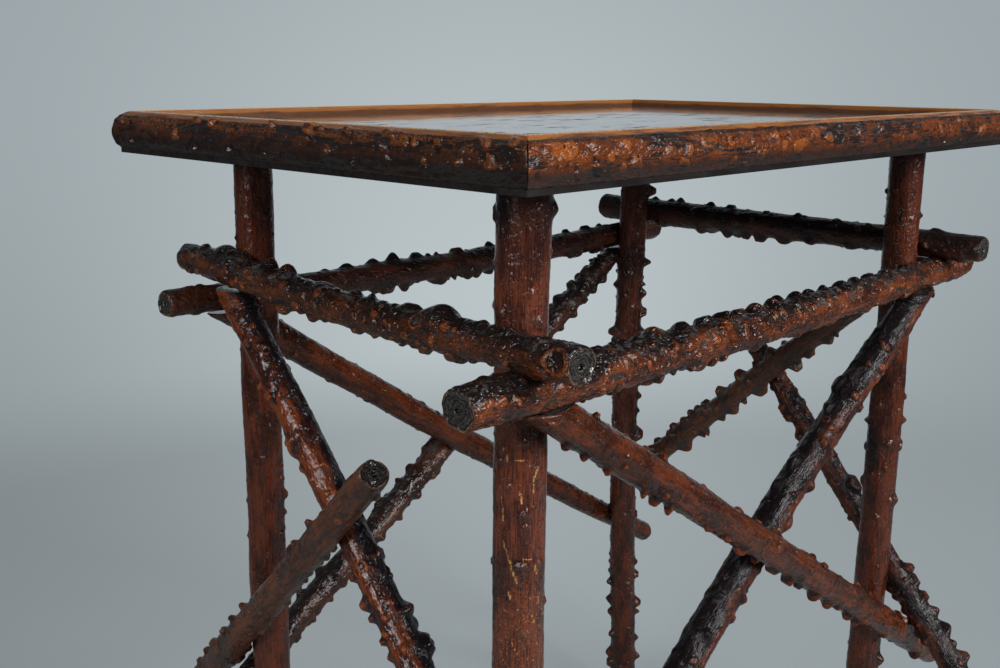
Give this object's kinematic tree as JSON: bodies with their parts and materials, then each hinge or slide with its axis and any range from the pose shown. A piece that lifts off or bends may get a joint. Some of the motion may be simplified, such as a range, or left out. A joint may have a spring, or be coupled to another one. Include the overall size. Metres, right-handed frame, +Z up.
{
  "type": "rustic branch table",
  "caption": "Small rectangular side table: a split-branch-rimmed tray top on round branch legs tied by stretchers and crossing knobbly braces.",
  "frame": {"origin": "on the floor under the middle of the whole table, which is the middle of the top", "axes": "+Z up, +X along the long side of the top, +Y along the short side, away from the front"},
  "size_m": [0.7145, 0.5164, 0.71],
  "materials": {
    "branch_bark": "dark red-brown bark under old gloss varnish",
    "rim_wood": "varnished bark, rubbed orange along the sawn edge",
    "panel_wood": "dark board, high gloss varnish",
    "board_wood": "dark stained board, matt below",
    "nail_iron": "blackened iron"
  },
  "bodies": {
    "root": {"base_board": "board_wood", "top_panel": "panel_wood", "rim_front": "rim_wood", "rim_right": "rim_wood", "rim_back": "rim_wood", "rim_left": "rim_wood", "leg_front_left": "branch_bark", "leg_front_right": "branch_bark", "leg_back_left": "branch_bark", "leg_back_right": "branch_bark", "stretcher_left": "branch_bark", "stretcher_front": "branch_bark", "stretcher_back": "branch_bark", "stretcher_right": "branch_bark", "brace_left_inner": "branch_bark", "brace_left_outer": "branch_bark", "brace_front_inner": "branch_bark", "brace_front_outer": "branch_bark", "brace_back_inner": "branch_bark", "brace_back_outer": "branch_bark", "brace_right_inner": "branch_bark", "brace_right_outer": "branch_bark", "stretcher_nails": "nail_iron", "brace_nails": "nail_iron", "rim_brads": "nail_iron", "leg_screws": "nail_iron"}
  },
  "joints": []
}
